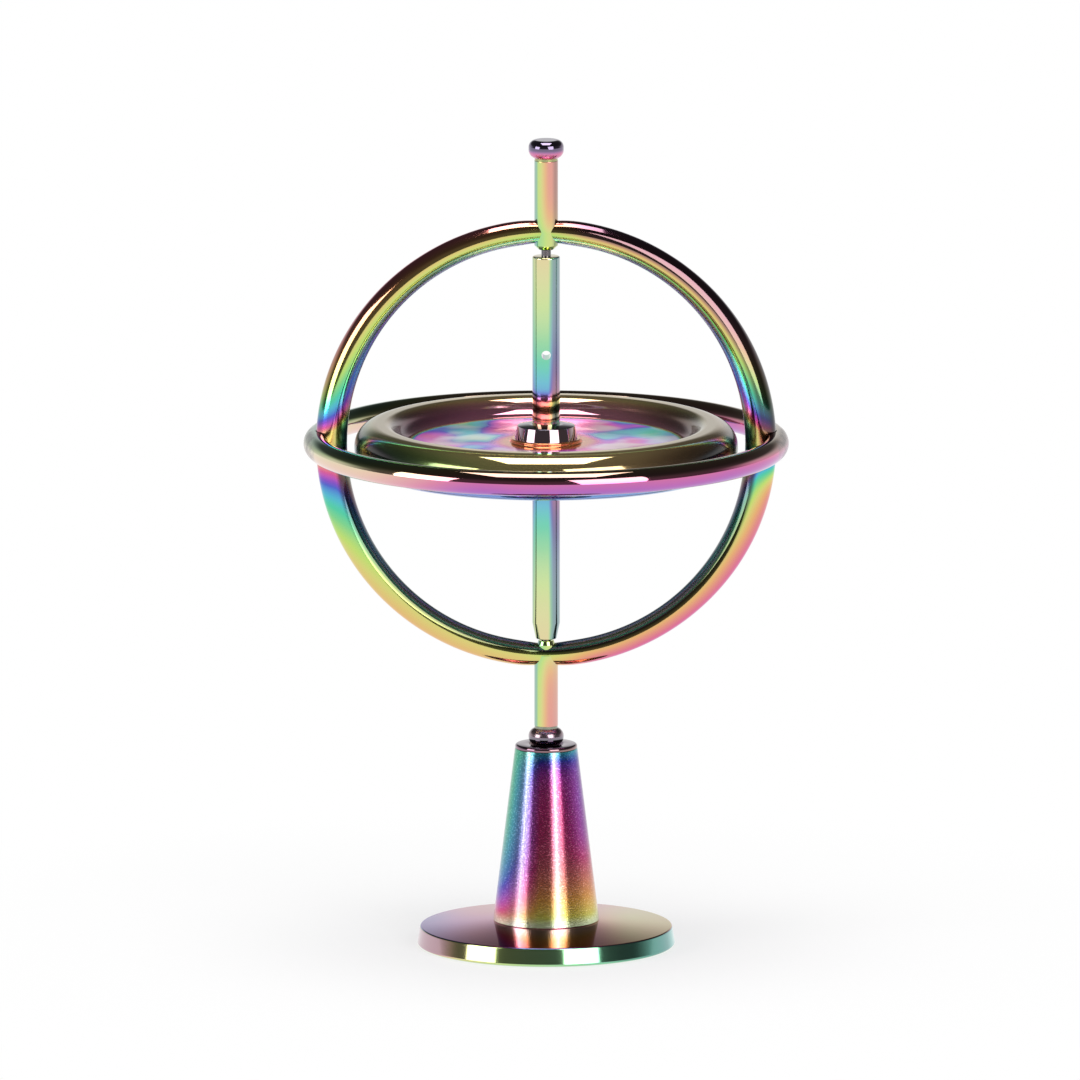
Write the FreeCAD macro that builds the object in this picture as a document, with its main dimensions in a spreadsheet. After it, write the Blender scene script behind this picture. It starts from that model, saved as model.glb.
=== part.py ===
import FreeCAD, Part
import Sketcher
import os

# A toy gyroscope in its two crossed rings, balanced by its lower knob in the cup of a cone-shaped stand.
# Millimetres, +Z up. The origin is the middle of the stand's underside, where it rests.
# The rings cross on the X axis, and the string hole in the shaft runs along Y.

sizes = {
    # stand: base disc, its pad and its screw
    "baseDiameter": 33.6,
    "baseTopDiameter": 32.8,
    "baseEdgeHeight": 2.4,
    "baseCrownRise": 0.75,
    "baseEdgeChamfer": 0.2,
    "padDiameter": 28.0,
    "padThickness": 0.6,
    "padProud": 0.1,
    "padGap": 0.1,
    "screwDiameter": 3.0,
    "screwHeadDiameter": 5.6,
    "screwHeadHeight": 1.5,
    "screwGrip": 8.0,
    "screwHoleDiameter": 3.3,
    "socketAcrossFlats": 2.0,
    "socketDepth": 1.0,
    # stand: cone and the polished cup on top of it
    "coneFootDiameter": 13.8,
    "coneTopDiameter": 8.1,
    "coneHeight": 22.8,
    "cupFlangeHeight": 0.5,
    "cupEdgeRounding": 0.3,
    "cupStemDiameter": 4.9,
    "cupStemLength": 5.0,
    "cupStemGap": 0.05,
    "cupBoreSpare": 0.3,
    # the knobs at both ends of the frame
    "knobDiameter": 4.6,
    "knobHeight": 2.7,
    "knobRounding": 1.0,
    "knobSink": 0.3,
    "knobCupGap": 0.15,
    # posts between the knobs and the upright ring
    "postLength": 9.39,
    "postDiameter": 3.1,
    "spigotDiameter": 1.8,
    "spigotLength": 1.5,
    "spigotSpare": 0.15,
    "dowelDiameter": 2.2,
    "dowelReach": 0.3,
    "dowelSpare": 0.1,
    # bearing bosses inside the upright ring
    "upperBossReach": 2.3,
    "lowerBossReach": 1.85,
    "bossNoseChamfer": 0.55,
    "bearingDepth": 1.2,
    "bearingGap": 0.05,
    # upright ring, thicker at its sides than at its poles
    "ringRadius": 27.86,
    "ringPoleTube": 3.24,
    "ringSideTube": 4.06,
    # level ring around it, notched over the upright ring's sides and riveted to it
    "hoopStep": 2.04,
    "hoopTube": 3.2,
    "notchGap": 0.06,
    "rivetDiameter": 1.2,
    "rivetLength": 3.1,
    "rivetSpare": 0.1,
    # rotor: shaft, its hardened points, flywheel and hub collars
    "shaftDiameter": 3.6,
    "shaftTopSpace": 3.21,
    "shaftFootSpace": 2.1,
    "shaftTopChamfer": 0.2,
    "shaftTaperLength": 2.1,
    "shaftTaperDiameter": 2.7,
    "stringHoleDiameter": 1.2,
    "stringHoleAbove": 11.87,
    "pointDiameter": 1.25,
    "pointSunk": 3.0,
    "pointTaperLength": 0.4,
    "pointFlatDiameter": 0.5,
    "upperEndPlay": 0.35,
    "lowerEndPlay": 0.05,
    "rimClearance": 0.93,
    "wheelDrop": 0.5,
    "rimThickness": 6.2,
    "rimBand": 0.3,
    "crestLand": 2.0,
    "crestRounding": 1.8,
    "rimWidth": 6.1,
    "webThickness": 1.4,
    "webRounding": 2.1,
    "bossDiameter": 9.2,
    "bossHeight": 0.5,
    "bossRounding": 0.4,
    "collarDiameter": 8.2,
    "collarHeight": 1.9,
    "collarChamfer": 0.15,
    # the air between two pieces that are pressed or screwed together
    "fitGap": 0.02,
}

doc = FreeCAD.newDocument("Gyroscope")
sheet = doc.addObject("Spreadsheet::Sheet", "Size")
for row, (name, value) in enumerate(sizes.items(), start=1):
    sheet.set("A" + str(row), name)
    sheet.set("B" + str(row), str(value))
    sheet.setAlias("B" + str(row), name)
doc.recompute()

# Lengths that follow from the upright ring, as formulas on the sheet.
knobShoulder = "(Size.ringRadius + Size.postLength)"
hoopRadius = "(Size.ringRadius + Size.hoopStep)"
shaftAbove = "(Size.ringRadius - Size.shaftTopSpace)"
shaftBelow = "(Size.ringRadius - Size.shaftFootSpace)"
wheelRadius = "(Size.ringRadius - Size.ringSideTube / 2 - Size.rimClearance)"

# Heights above the ground.
seatLevel = "(Size.padProud + Size.baseEdgeHeight + Size.baseCrownRise)"
coneTopLevel = f"({seatLevel} + Size.coneHeight)"
cupFaceLevel = f"({coneTopLevel} + Size.cupFlangeHeight)"
equatorLevel = f"({cupFaceLevel} - Size.knobSink + Size.knobHeight + {knobShoulder})"
wheelLevel = f"({equatorLevel} - Size.wheelDrop)"

upright = FreeCAD.Rotation()
overturned = FreeCAD.Rotation(FreeCAD.Vector(1, 0, 0), 180)
alongX = FreeCAD.Rotation(FreeCAD.Vector(0, 1, 0), 90)
alongY = FreeCAD.Rotation(FreeCAD.Vector(1, 0, 0), -90)

nodes = []


def lift(piece, level):
    """Raises a piece to a height given as a formula."""
    piece.setExpression("Placement.Base.z", level)


def keep(piece, label):
    """Names a finished piece, which is then checked and written to its own file."""
    piece.Label = label
    nodes.append(piece)
    return piece


def outlineSketch(body, name, corners):
    """A closed outline in the XZ plane. Each corner is (radius, height), two formulas, or 0 on an axis."""
    plane = next(f for f in body.Origin.OriginFeatures if f.Role == "XZ_Plane")
    sketch = body.newObject("Sketcher::SketchObject", name)
    sketch.AttachmentSupport = [(plane, "")]
    sketch.MapMode = "FlatFace"
    count = len(corners)
    spread = [FreeCAD.Vector(10 + i, 10 + (i - count / 2) ** 2, 0) for i in range(count)]
    for i in range(count):
        sketch.addGeometry(Part.LineSegment(spread[i], spread[(i + 1) % count]), False)
    for i, (radius, height) in enumerate(corners):
        sketch.addConstraint(Sketcher.Constraint("Coincident", i, 2, (i + 1) % count, 1))
        for formula, kind, axis in ((radius, "DistanceX", -2), (height, "DistanceY", -1)):
            if formula == 0:
                sketch.addConstraint(Sketcher.Constraint("PointOnObject", i, 1, axis))
            else:
                number = sketch.addConstraint(Sketcher.Constraint(kind, -1, 1, i, 1, 1.0))
                sketch.setExpression(f"Constraints[{number}]", formula)
    return sketch


def turnedBody(name, corners):
    """A body turned about Z from an outline."""
    body = doc.addObject("PartDesign::Body", name)
    sketch = outlineSketch(body, name + "Outline", corners)
    turning = body.newObject("PartDesign::Revolution", name + "Turning")
    turning.Profile = sketch
    turning.ReferenceAxis = (sketch, ["V_Axis"])
    turning.Angle = 360
    sketch.Visibility = False
    doc.recompute()
    return body


def circleEdges(feature, wanted):
    """Names of the circular edges about Z whose radius and height pass the test."""
    found = []
    for number, edge in enumerate(feature.Shape.Edges, start=1):
        if isinstance(edge.Curve, Part.Circle) and wanted(edge.Curve.Radius, edge.Curve.Center.z):
            found.append("Edge" + str(number))
    return found


def roundEdges(body, name, radius, wanted):
    """Rounds the circular edges that pass the test."""
    base = body.Tip
    rounding = body.newObject("PartDesign::Fillet", name)
    rounding.Base = (base, circleEdges(base, wanted))
    rounding.setExpression("Radius", radius)
    doc.recompute()


def near(a, b):
    return abs(a - b) < 1e-4


def cylinder(name, radius, length, rotation=upright):
    piece = doc.addObject("Part::Cylinder", name)
    piece.setExpression("Radius", radius)
    piece.setExpression("Height", length)
    piece.Placement.Rotation = rotation
    return piece


def cone(name, radiusBelow, radiusAbove, height):
    piece = doc.addObject("Part::Cone", name)
    piece.setExpression("Radius1", radiusBelow)
    piece.setExpression("Radius2", radiusAbove)
    piece.setExpression("Height", height)
    return piece


def cutAway(name, base, tools):
    tool = tools[0]
    if len(tools) > 1:
        tool = doc.addObject("Part::MultiFuse", name + "Tools")
        tool.Shapes = tools
    piece = doc.addObject("Part::Cut", name)
    piece.Base = base
    piece.Tool = tool
    return piece


def joined(name, shapes):
    piece = doc.addObject("Part::MultiFuse", name)
    piece.Shapes = shapes
    return piece


# ---- stand ----

def baseDisc():
    """Disc with a slightly raised crown, a countersunk screw hole and a recess for the pad below."""
    recess = "(Size.padThickness - Size.padProud)"
    sinkDepth = f"({recess} + Size.screwHeadHeight)"
    edge = "Size.baseEdgeChamfer"
    crown = "(Size.baseEdgeHeight + Size.baseCrownRise)"
    body = turnedBody("baseDisc", [
        ("Size.screwHeadDiameter / 2 + Size.fitGap", recess),
        ("Size.padDiameter / 2 + Size.padGap", recess),
        ("Size.padDiameter / 2 + Size.padGap", 0),
        (f"Size.baseDiameter / 2 - {edge}", 0),
        ("Size.baseDiameter / 2", edge),
        ("Size.baseTopDiameter / 2", f"Size.baseEdgeHeight - {edge}"),
        (f"Size.baseTopDiameter / 2 - {edge}", "Size.baseEdgeHeight"),
        ("Size.coneFootDiameter / 2", crown),
        ("Size.screwHoleDiameter / 2", crown),
        ("Size.screwHoleDiameter / 2", sinkDepth),
    ])
    lift(body, "Size.padProud")
    return keep(body, "base_disc")


def basePad():
    pad = cylinder("basePad", "Size.padDiameter / 2", "Size.padThickness")
    return keep(pad, "base_pad")


def baseScrew():
    """Countersunk screw, its flat head flush with the recess floor, with a hexagon socket."""
    screw = turnedBody("baseScrew", [
        (0, 0),
        ("Size.screwHeadDiameter / 2", 0),
        ("Size.screwDiameter / 2", "Size.screwHeadHeight"),
        ("Size.screwDiameter / 2", "Size.screwHeadHeight + Size.screwGrip"),
        (0, "Size.screwHeadHeight + Size.screwGrip"),
    ])
    socket = doc.addObject("Part::Prism", "screwSocket")
    socket.Polygon = 6
    socket.setExpression("Circumradius", "Size.socketAcrossFlats / sqrt(3)")
    socket.setExpression("Height", "Size.socketDepth")
    piece = cutAway("baseScrewCut", screw, [socket])
    lift(piece, "Size.padThickness + Size.fitGap")
    return keep(piece, "base_screw")


def standCone():
    """Cone with a screw hole up its foot and a bore for the cup's stem down its top."""
    screwTop = "(Size.padThickness + Size.fitGap + Size.screwHeadHeight + Size.screwGrip)"
    holeDepth = f"({screwTop} - {seatLevel} + Size.cupBoreSpare)"
    boreFloor = "(Size.coneHeight - Size.cupStemLength - Size.cupBoreSpare)"
    body = turnedBody("standCone", [
        ("Size.screwDiameter / 2 + Size.fitGap", 0),
        ("Size.coneFootDiameter / 2", 0),
        ("Size.coneTopDiameter / 2", "Size.coneHeight"),
        ("Size.cupStemDiameter / 2 + Size.cupStemGap", "Size.coneHeight"),
        ("Size.cupStemDiameter / 2 + Size.cupStemGap", boreFloor),
        (0, boreFloor),
        (0, holeDepth),
        ("Size.screwDiameter / 2 + Size.fitGap", holeDepth),
    ])
    lift(body, seatLevel)
    return keep(body, "stand_cone")


def pivotCup():
    """Flanged plug with a round dimple that holds the lower knob at every lean."""
    body = turnedBody("pivotCup", [
        (0, 0),
        ("Size.cupStemDiameter / 2", 0),
        ("Size.cupStemDiameter / 2", "Size.cupStemLength"),
        ("Size.coneTopDiameter / 2", "Size.cupStemLength"),
        ("Size.coneTopDiameter / 2", "Size.cupStemLength + Size.cupFlangeHeight"),
        (0, "Size.cupStemLength + Size.cupFlangeHeight"),
    ])
    top = sizes["cupStemLength"] + sizes["cupFlangeHeight"]
    outer = sizes["coneTopDiameter"] / 2
    roundEdges(body, "cupEdge", "Size.cupEdgeRounding", lambda r, z: near(r, outer) and near(z, top))
    # the knob's rounded edge, as seen from the knob's centre, sweeps this radius
    flat = "(Size.knobDiameter / 2 - Size.knobRounding)"
    half = "(Size.knobHeight / 2 - Size.knobRounding)"
    sweep = f"(sqrt({flat} ^ 2 + {half} ^ 2) + Size.knobRounding)"
    dimple = doc.addObject("Part::Sphere", "cupDimple")
    dimple.setExpression("Radius", f"{sweep} + Size.knobCupGap")
    lift(dimple, "Size.cupStemLength + Size.cupFlangeHeight - Size.knobSink + Size.knobHeight / 2")
    piece = cutAway("pivotCupCut", body, [dimple])
    lift(piece, f"{coneTopLevel} - Size.cupStemLength")
    return keep(piece, "pivot_cup")


# ---- frame: two rings, two posts with knobs, two bearing bosses ----

def knob(label, rotation):
    """Round-edged button, bored on its inner face for the post's spigot."""
    body = turnedBody(label + "Body", [
        ("Size.spigotDiameter / 2 + Size.fitGap", 0),
        ("Size.knobDiameter / 2", 0),
        ("Size.knobDiameter / 2", "Size.knobHeight"),
        (0, "Size.knobHeight"),
        (0, "Size.spigotLength + Size.spigotSpare"),
        ("Size.spigotDiameter / 2 + Size.fitGap", "Size.spigotLength + Size.spigotSpare"),
    ])
    outer = sizes["knobDiameter"] / 2
    roundEdges(body, label + "Edges", "Size.knobRounding", lambda r, z: near(r, outer))
    body.Placement.Rotation = rotation
    side = "-" if rotation == overturned else "+"
    lift(body, f"{equatorLevel} {side} {knobShoulder}")
    return keep(body, label)


def poleSaddle(name):
    """The upright ring's own tube near its top pole, grown by the fit, to hollow a post's end."""
    saddle = doc.addObject("Part::Torus", name)
    saddle.setExpression("Radius1", "Size.ringRadius")
    saddle.setExpression("Radius2", "Size.ringPoleTube / 2 + Size.fitGap")
    saddle.Placement.Rotation = alongY
    return saddle


def post(label, rotation):
    """Post whose inner end fits over the ring, with a dowel into it and a spigot into the knob."""
    rod = cylinder(label + "Rod", "Size.postDiameter / 2", "Size.postLength")
    lift(rod, "Size.ringRadius")
    coped = cutAway(label + "Coped", rod, [poleSaddle(label + "Saddle")])
    core = "(Size.postDiameter / 2)"
    dowelRadius = "(Size.dowelDiameter / 2 - Size.fitGap)"
    dowel = cylinder(label + "Dowel", dowelRadius, f"Size.ringPoleTube / 2 + {core}")
    lift(dowel, "Size.ringRadius + Size.dowelReach")
    spigot = cylinder(label + "Spigot", "Size.spigotDiameter / 2", f"Size.spigotLength + {core}")
    lift(spigot, f"{knobShoulder} - {core}")
    piece = joined(label + "Joined", [coped, dowel, spigot])
    piece.Placement.Rotation = rotation
    lift(piece, equatorLevel)
    return keep(piece, label)


def bearingBoss(label, reach, rotation):
    """Boss on the ring's inner side, with a dowel into the ring and a blind bearing for a shaft point."""
    nose = "Size.bossNoseChamfer"
    radius = "(Size.postDiameter / 2)"
    stub = cylinder(label + "Stub", radius, f"{reach} - {nose}")
    lift(stub, f"Size.ringRadius - {reach} + {nose}")
    tip = cone(label + "Nose", f"{radius} - {nose}", radius, nose)
    lift(tip, f"Size.ringRadius - {reach}")
    coped = cutAway(label + "Coped", joined(label + "Whole", [stub, tip]), [poleSaddle(label + "Saddle")])
    dowelLength = f"({reach} - {nose} + Size.dowelReach - Size.dowelSpare)"
    dowel = cylinder(label + "Dowel", "Size.dowelDiameter / 2 - Size.fitGap", dowelLength)
    lift(dowel, f"Size.ringRadius - {reach} + {nose}")
    bearing = cylinder(label + "Bearing", "Size.pointDiameter / 2 + Size.bearingGap", "Size.bearingDepth")
    lift(bearing, f"Size.ringRadius - {reach}")
    piece = cutAway(label + "Cut", joined(label + "Joined", [coped, dowel]), [bearing])
    piece.Placement.Rotation = rotation
    lift(piece, equatorLevel)
    return keep(piece, label)


def verticalRing():
    """Upright ring of two mirrored halves, each lofted from pole to pole through round sections that
    swell towards the side. It is bored through at the poles and part way in at the sides."""
    steps = 12
    sections = []
    for i in range(steps + 1):
        angle = -90 + i * 180 / steps
        section = doc.addObject("Part::Circle", "ringSection" + str(i))
        swell = f"(Size.ringSideTube - Size.ringPoleTube) / 2 * abs(cos({angle} deg)) ^ 3"
        section.setExpression("Radius", f"Size.ringPoleTube / 2 + {swell}")
        section.Placement.Rotation = FreeCAD.Rotation(FreeCAD.Vector(0, 1, 0), -angle)
        section.setExpression("Placement.Base.x", f"Size.ringRadius * cos({angle} deg)")
        section.setExpression("Placement.Base.z", f"Size.ringRadius * sin({angle} deg)")
        sections.append(section)
    rightHalf = doc.addObject("Part::Loft", "ringRightHalf")
    rightHalf.Sections = sections
    rightHalf.Solid = True
    leftHalf = doc.addObject("Part::Mirroring", "ringLeftHalf")
    leftHalf.Source = rightHalf
    leftHalf.Base = FreeCAD.Vector(0, 0, 0)
    leftHalf.Normal = FreeCAD.Vector(1, 0, 0)
    tube = joined("ringTube", [rightHalf, leftHalf])
    span = "(Size.ringRadius + Size.ringSideTube)"
    poleBore = cylinder("poleBore", "Size.dowelDiameter / 2", f"2 * {span}")
    lift(poleBore, f"-{span}")
    bores = [poleBore]
    rivetHole = "(Size.rivetDiameter / 2 + Size.fitGap)"
    inner = f"({hoopRadius} + Size.hoopTube / 2 - Size.rivetLength - Size.rivetSpare)"
    for side, sign in (("Left", "-"), ("Right", "+")):
        bore = cylinder("rivetBore" + side, rivetHole, "Size.ringSideTube", alongX)
        start = inner if sign == "+" else f"-{inner} - Size.ringSideTube"
        bore.setExpression("Placement.Base.x", start)
        bores.append(bore)
    piece = cutAway("verticalRing", tube, bores)
    lift(piece, equatorLevel)
    return keep(piece, "vertical_ring")


def horizontalRing():
    """Level ring with a notch over each side of the upright ring and a hole for each rivet."""
    tube = doc.addObject("Part::Torus", "hoopTubeSolid")
    tube.setExpression("Radius1", hoopRadius)
    tube.setExpression("Radius2", "Size.hoopTube / 2")
    rivetHole = "(Size.rivetDiameter / 2 + Size.fitGap)"
    tools = []
    for side, sign in (("Left", "-"), ("Right", "+")):
        notch = cylinder("notch" + side, "Size.ringSideTube / 2 + Size.notchGap", "2 * Size.hoopTube")
        notch.setExpression("Placement.Base.x", f"{sign}Size.ringRadius")
        lift(notch, "-Size.hoopTube")
        hole = cylinder("rivetHole" + side, rivetHole, "2 * Size.hoopTube", alongX)
        start = "Size.ringRadius" if sign == "+" else "-Size.ringRadius - 2 * Size.hoopTube"
        hole.setExpression("Placement.Base.x", start)
        tools += [notch, hole]
    piece = cutAway("horizontalRing", tube, tools)
    lift(piece, equatorLevel)
    return keep(piece, "horizontal_ring")


def ringRivet(label, sign):
    """Pin that ties the level ring to the upright one."""
    rivet = cylinder(label + "Pin", "Size.rivetDiameter / 2", "Size.rivetLength", alongX)
    outside = f"({hoopRadius} + Size.hoopTube / 2)"
    start = f"{outside} - Size.rivetLength" if sign == "+" else f"-{outside}"
    rivet.setExpression("Placement.Base.x", start)
    lift(rivet, equatorLevel)
    return keep(rivet, label)


# ---- rotor ----

def shaft():
    """Shaft with a tapered lower end, blind holes for its points and a cross hole for the string."""
    length = f"({shaftAbove} + {shaftBelow})"
    pointHole = "Size.pointDiameter / 2 + Size.fitGap"
    body = turnedBody("shaftBody", [
        (0, "Size.pointSunk"),
        (pointHole, "Size.pointSunk"),
        (pointHole, 0),
        ("Size.shaftTaperDiameter / 2", 0),
        ("Size.shaftDiameter / 2", "Size.shaftTaperLength"),
        ("Size.shaftDiameter / 2", f"{length} - Size.shaftTopChamfer"),
        ("Size.shaftDiameter / 2 - Size.shaftTopChamfer", length),
        (pointHole, length),
        (pointHole, f"{length} - Size.pointSunk"),
        (0, f"{length} - Size.pointSunk"),
    ])
    hole = cylinder("stringHole", "Size.stringHoleDiameter / 2", "2 * Size.shaftDiameter", alongY)
    hole.setExpression("Placement.Base.y", "-Size.shaftDiameter")
    lift(hole, f"{shaftBelow} + Size.stringHoleAbove")
    piece = cutAway("shaftCut", body, [hole])
    lift(piece, f"{equatorLevel} - {shaftBelow}")
    return keep(piece, "shaft")


def pivotTip(label, shaftEnd, reach, play, rotation):
    """Hardened point, sunk in the shaft's end and running in the bearing boss."""
    out = f"(Size.ringRadius - {reach} - {shaftEnd} + Size.bearingDepth - {play})"
    body = turnedBody(label + "Body", [
        (0, 0),
        ("Size.pointDiameter / 2", 0),
        ("Size.pointDiameter / 2", f"Size.pointSunk + {out} - Size.pointTaperLength"),
        ("Size.pointFlatDiameter / 2", f"Size.pointSunk + {out}"),
        (0, f"Size.pointSunk + {out}"),
    ])
    body.Placement.Rotation = rotation
    side = "-" if rotation == overturned else "+"
    lift(body, f"{equatorLevel} {side} ({shaftEnd} - Size.pointSunk)")
    return keep(body, label)


def flywheel():
    """Dished wheel: a thick round rim, slopes down to a thin web, and a low boss at the middle."""
    rimHalf = "(Size.rimThickness / 2)"
    webHalf = "(Size.webThickness / 2)"
    rimRounding = f"({rimHalf} - Size.rimBand / 2)"
    crest = f"{wheelRadius} - {rimRounding} - Size.crestLand"
    webEdge = f"({wheelRadius} - Size.rimWidth)"
    bore = "Size.shaftDiameter / 2 + Size.fitGap"
    bossTop = f"({webHalf} + Size.bossHeight)"
    body = turnedBody("flywheelBody", [
        (bore, f"{rimHalf} - {bossTop}"),
        ("Size.bossDiameter / 2", f"{rimHalf} - {bossTop}"),
        ("Size.bossDiameter / 2", f"{rimHalf} - {webHalf}"),
        (webEdge, f"{rimHalf} - {webHalf}"),
        (crest, 0),
        (wheelRadius, 0),
        (wheelRadius, "Size.rimThickness"),
        (crest, "Size.rimThickness"),
        (webEdge, f"{rimHalf} + {webHalf}"),
        ("Size.bossDiameter / 2", f"{rimHalf} + {webHalf}"),
        ("Size.bossDiameter / 2", f"{rimHalf} + {bossTop}"),
        (bore, f"{rimHalf} + {bossTop}"),
    ])
    outerRadius = sizes["ringRadius"] - sizes["ringSideTube"] / 2 - sizes["rimClearance"]
    webRadius = outerRadius - sizes["rimWidth"]
    bossRadius = sizes["bossDiameter"] / 2
    thickness = sizes["rimThickness"]
    webLevels = (thickness / 2 - sizes["webThickness"] / 2, thickness / 2 + sizes["webThickness"] / 2)

    def atWeb(z):
        return near(z, webLevels[0]) or near(z, webLevels[1])

    def atFace(z):
        return near(z, 0) or near(z, thickness)

    roundEdges(body, "webFillets", "Size.webRounding", lambda r, z: near(r, webRadius) and atWeb(z))
    roundEdges(body, "bossFillets", "Size.bossRounding", lambda r, z: near(r, bossRadius) and atWeb(z))
    roundEdges(body, "crestEdges", "Size.crestRounding", lambda r, z: atFace(z) and r < outerRadius - 1)
    roundEdges(body, "rimEdges", rimRounding, lambda r, z: near(r, outerRadius))
    lift(body, f"{wheelLevel} - {rimHalf}")
    return keep(body, "flywheel")


def hubCollar(label, rotation):
    """Collar pressed on the shaft against the flywheel's boss."""
    bore = "Size.shaftDiameter / 2 + Size.fitGap"
    body = turnedBody(label + "Body", [
        (bore, 0),
        ("Size.collarDiameter / 2", 0),
        ("Size.collarDiameter / 2", "Size.collarHeight - Size.collarChamfer"),
        ("Size.collarDiameter / 2 - Size.collarChamfer", "Size.collarHeight"),
        (bore, "Size.collarHeight"),
    ])
    body.Placement.Rotation = rotation
    side = "-" if rotation == overturned else "+"
    lift(body, f"{wheelLevel} {side} (Size.webThickness / 2 + Size.bossHeight)")
    return keep(body, label)


baseDisc()
basePad()
baseScrew()
standCone()
pivotCup()
for end, turn in (("lower", overturned), ("upper", upright)):
    knob(end + "_knob", turn)
    post(end + "_post", turn)
    bearingBoss(end + "_bearing_boss", f"Size.{end}BossReach", turn)
    hubCollar(end + "_hub_collar", turn)
verticalRing()
horizontalRing()
ringRivet("ring_rivet_left", "-")
ringRivet("ring_rivet_right", "+")
shaft()
pivotTip("lower_pivot_tip", shaftBelow, "Size.lowerBossReach", "Size.lowerEndPlay", overturned)
pivotTip("upper_pivot_tip", shaftAbove, "Size.upperBossReach", "Size.upperEndPlay", upright)
flywheel()

doc.recompute()
for item in doc.Objects:
    if "Invalid" in item.State or "Error" in item.State:
        raise RuntimeError(item.Name + " failed: " + str(item.State))
os.makedirs("parts", exist_ok=True)
for piece in nodes:
    shape = piece.Shape
    if shape.isNull() or not shape.isValid() or len(shape.Solids) != 1:
        raise RuntimeError(piece.Label + " has no valid single solid")
for piece in nodes:
    piece.Shape.exportStep("parts/" + piece.Label + ".step")
    print(piece.Label, "volume", round(piece.Shape.Volume, 2))
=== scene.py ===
import math

import bpy
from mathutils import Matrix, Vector


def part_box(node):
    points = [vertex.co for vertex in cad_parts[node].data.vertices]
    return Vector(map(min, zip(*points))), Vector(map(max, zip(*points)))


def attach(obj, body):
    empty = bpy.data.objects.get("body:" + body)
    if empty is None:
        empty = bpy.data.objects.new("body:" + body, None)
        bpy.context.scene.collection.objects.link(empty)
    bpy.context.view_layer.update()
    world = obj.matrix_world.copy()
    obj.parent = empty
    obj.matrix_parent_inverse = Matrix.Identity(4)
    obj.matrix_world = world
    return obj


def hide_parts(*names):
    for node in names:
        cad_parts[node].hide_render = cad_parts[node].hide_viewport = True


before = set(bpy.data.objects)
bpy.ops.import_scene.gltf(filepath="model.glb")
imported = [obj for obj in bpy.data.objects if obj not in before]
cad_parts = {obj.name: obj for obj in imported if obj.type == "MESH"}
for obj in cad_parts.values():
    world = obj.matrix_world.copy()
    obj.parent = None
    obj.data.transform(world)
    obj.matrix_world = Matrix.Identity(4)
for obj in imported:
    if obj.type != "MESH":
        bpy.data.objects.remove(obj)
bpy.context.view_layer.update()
print("frame loaded")

mm = 0.001  # pieces are modelled in millimetres and scaled to metres at the end


# the frame's own measures, in millimetres
def low(node):
    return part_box(node)[0] / mm


def high(node):
    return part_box(node)[1] / mm


def middle(node):
    return (high(node).z + low(node).z) / 2


equator = middle("vertical_ring")
wheelMiddle = middle("flywheel")
seat = low("stand_cone").z
coneTop = high("stand_cone").z


# the distances from the equator at which a node begins and ends, on whichever side it is
def span(node):
    foot, top = low(node).z - equator, high(node).z - equator
    return max(foot, -top), max(top, -foot)


def selectOnly(piece):
    bpy.ops.object.select_all(action="DESELECT")
    piece.select_set(True)
    bpy.context.view_layer.objects.active = piece


def named(name):
    piece = bpy.context.object
    piece.name = name
    piece.data.name = name
    return piece


# a new piece from one of the primitives
def added(name, primitive, **values):
    bpy.ops.object.select_all(action="DESELECT")
    primitive(**values)
    return named(name)


# points along a round stretch of an outline, by angle in degrees from +X towards +Z
def arc(centreX, centreZ, radius, start, end, steps):
    points = []
    for i in range(steps + 1):
        angle = math.radians(start + (end - start) * i / steps)
        points.append((centreX + radius * math.cos(angle), centreZ + radius * math.sin(angle)))
    return points


# the points of the arc that rounds a corner of an outline
def roundCorner(before, corner, after, radius, steps):
    a = Vector(before) - Vector(corner)
    b = Vector(after) - Vector(corner)
    a.normalize()
    b.normalize()
    half = a.angle(b) / 2
    bisector = (a + b).normalized()
    centre = Vector(corner) + bisector * radius / math.sin(half)
    first = Vector(corner) + a * radius / math.tan(half) - centre
    last = Vector(corner) + b * radius / math.tan(half) - centre
    turn = first.angle_signed(last)
    points = []
    for i in range(steps + 1):
        angle = -turn * i / steps
        x = first.x * math.cos(angle) - first.y * math.sin(angle)
        z = first.x * math.sin(angle) + first.y * math.cos(angle)
        points.append((centre.x + x, centre.y + z))
    return points


# an outline from corners (radius, height, rounding), sharp where the rounding is left out
def outline(corners, steps):
    points = []
    for i, corner in enumerate(corners):
        if len(corner) < 3:
            points.append(corner)
        else:
            before, after = corners[i - 1][:2], corners[i + 1][:2]
            points += roundCorner(before, corner[:2], after, corner[2], steps)
    return points


# marks the edges steeper than an angle in degrees as sharp and shades the rest smoothly
def smooth(piece, sharp=28):
    selectOnly(piece)
    bpy.ops.object.shade_smooth_by_angle(angle=math.radians(sharp))


# a turned piece: the outline drawn as an extruded wire and spun about Z
def turned(name, points, turns):
    piece = added(name, bpy.ops.mesh.primitive_plane_add, size=1, location=(0, 0, 0))
    bpy.ops.object.mode_set(mode="EDIT")
    bpy.ops.mesh.select_all(action="SELECT")
    bpy.ops.mesh.merge(type="CENTER")
    bpy.ops.transform.translate(value=(points[0][0], 0, points[0][1]))
    for i in range(1, len(points)):
        step = (points[i][0] - points[i - 1][0], 0, points[i][1] - points[i - 1][1])
        bpy.ops.mesh.extrude_region_move(TRANSFORM_OT_translate={"value": step})
    bpy.ops.mesh.select_all(action="SELECT")
    bpy.ops.mesh.spin(steps=turns, angle=2 * math.pi, center=(0, 0, 0), axis=(0, 0, 1))
    bpy.ops.mesh.select_all(action="SELECT")
    bpy.ops.mesh.remove_doubles(threshold=0.0005)
    bpy.ops.mesh.normals_make_consistent(inside=False)
    bpy.ops.object.mode_set(mode="OBJECT")
    smooth(piece)
    return piece


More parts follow.
